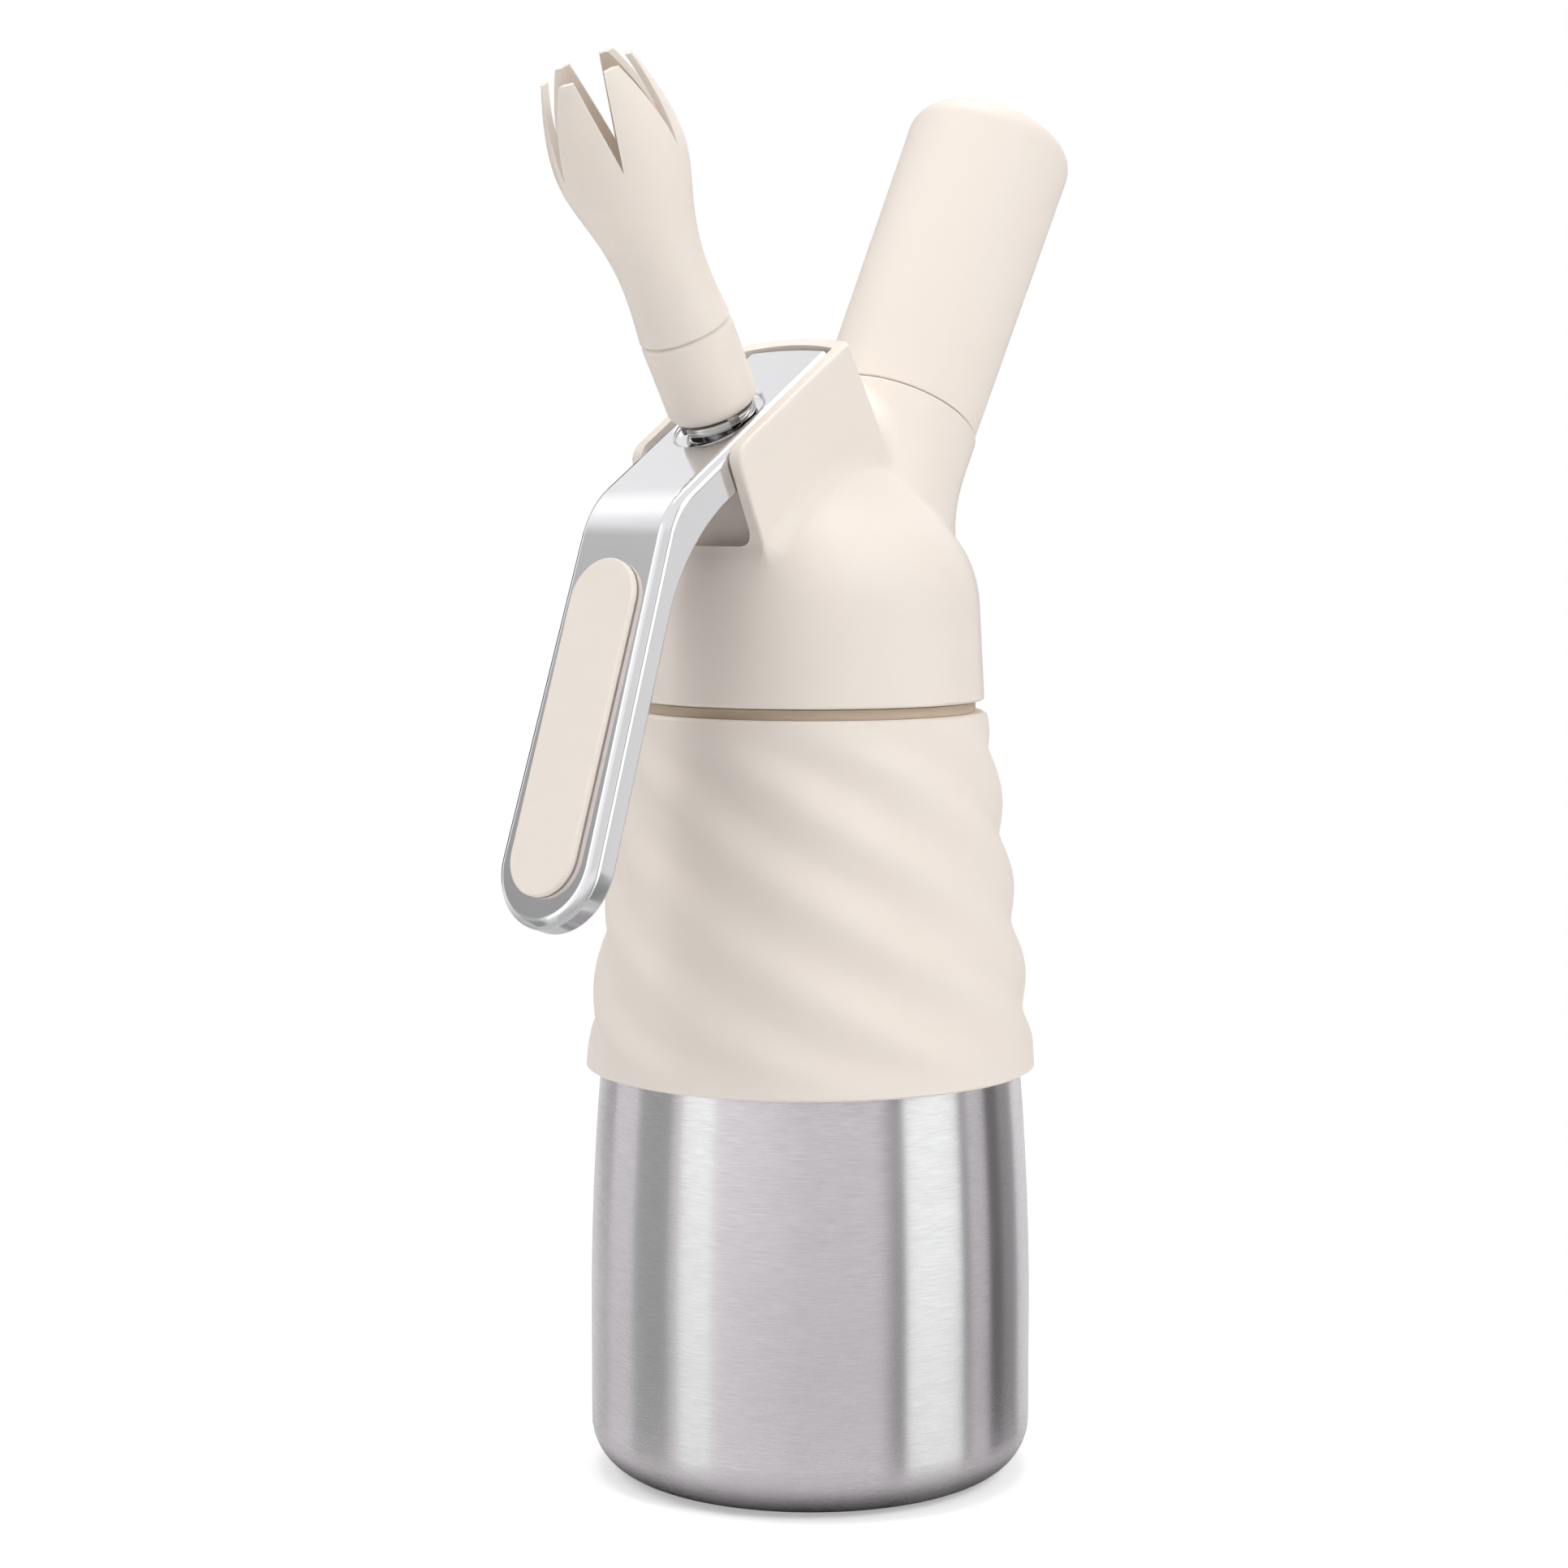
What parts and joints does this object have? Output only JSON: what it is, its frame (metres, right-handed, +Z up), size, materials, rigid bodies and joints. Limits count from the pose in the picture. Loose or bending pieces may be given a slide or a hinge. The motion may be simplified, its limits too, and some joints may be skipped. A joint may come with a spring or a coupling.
{
  "type": "cream whipper",
  "caption": "Cream whipper: steel bottle with fluted soft sleeve, coated head with squeeze lever, tilted nozzle with tulip tip and tilted charger holder.",
  "frame": {"origin": "centre of the bottle's foot, on the surface it stands on", "axes": "+Z up along the bottle, lever and nozzle towards -X, charger holder towards +X"},
  "size_m": [0.1358, 0.0814, 0.251],
  "materials": {
    "stainless": "brushed round the bottle",
    "cream_silicone": "soft matt",
    "cream_coat": "smooth satin cream coat on cast aluminium",
    "cream_plastic": "smooth satin",
    "polished_steel": "mirror polished",
    "inner_steel": "machined",
    "inner_aluminium": "machined",
    "cartridge_steel": "zinc plated",
    "clear_silicone": "soft translucent"
  },
  "bodies": {
    "bottle": {"bottle": "stainless", "grip_sleeve": "cream_silicone"},
    "head": {"head_body": "cream_coat", "head_gasket": "clear_silicone", "lever_pin": "inner_steel", "valve_seat": "clear_silicone", "guide_bush": "inner_steel", "stem_o_ring": "clear_silicone", "charger_stud": "inner_steel", "piercing_pin": "inner_steel", "piercing_gasket": "clear_silicone", "pin_retainer": "inner_steel", "nonreturn_sleeve": "clear_silicone"},
    "lever": {"lever": "polished_steel", "lever_pad_base": "cream_silicone", "lever_pad": "cream_silicone"},
    "valve": {"valve_stem": "inner_steel", "valve_disc": "clear_silicone", "spring_washer": "inner_steel", "valve_spring": "inner_steel", "bearing_ring": "polished_steel", "tip_collar": "cream_plastic"},
    "tip": {"tulip_tip": "cream_plastic", "tip_insert": "inner_steel"},
    "holder": {"charger_holder": "cream_plastic", "holder_liner": "inner_aluminium", "gas_cartridge": "cartridge_steel"}
  },
  "joints": [
    {"name": "head_lift", "type": "slide", "parent": "bottle", "child": "head", "axis": [0, 0, 1], "range_m": [0, 0.06]},
    {"name": "lever_squeeze", "type": "hinge", "parent": "head", "child": "lever", "pos_m": [-0.02866, 0, 0.18197], "axis": [0, -1, 0], "range_deg": [0, 12], "stiffness_Nm_per_rad": 0.5, "springref_deg": -8.59},
    {"name": "valve_lift", "type": "slide", "parent": "head", "child": "valve", "axis": [-0.4924, 0, 0.8704], "range_m": [0, 0.0035], "deforming": ["valve_spring"]},
    {"name": "tip_pull", "type": "slide", "parent": "valve", "child": "tip", "axis": [-0.4924, 0, 0.8704], "range_m": [0, 0.03]},
    {"name": "holder_pull", "type": "slide", "parent": "head", "child": "holder", "axis": [0.4772, 0, 0.8788], "range_m": [0, 0.05]}
  ],
  "couplings": [
    {"joint": "valve_lift", "follows": "lever_squeeze", "m_per_rad": 0.0155}
  ]
}
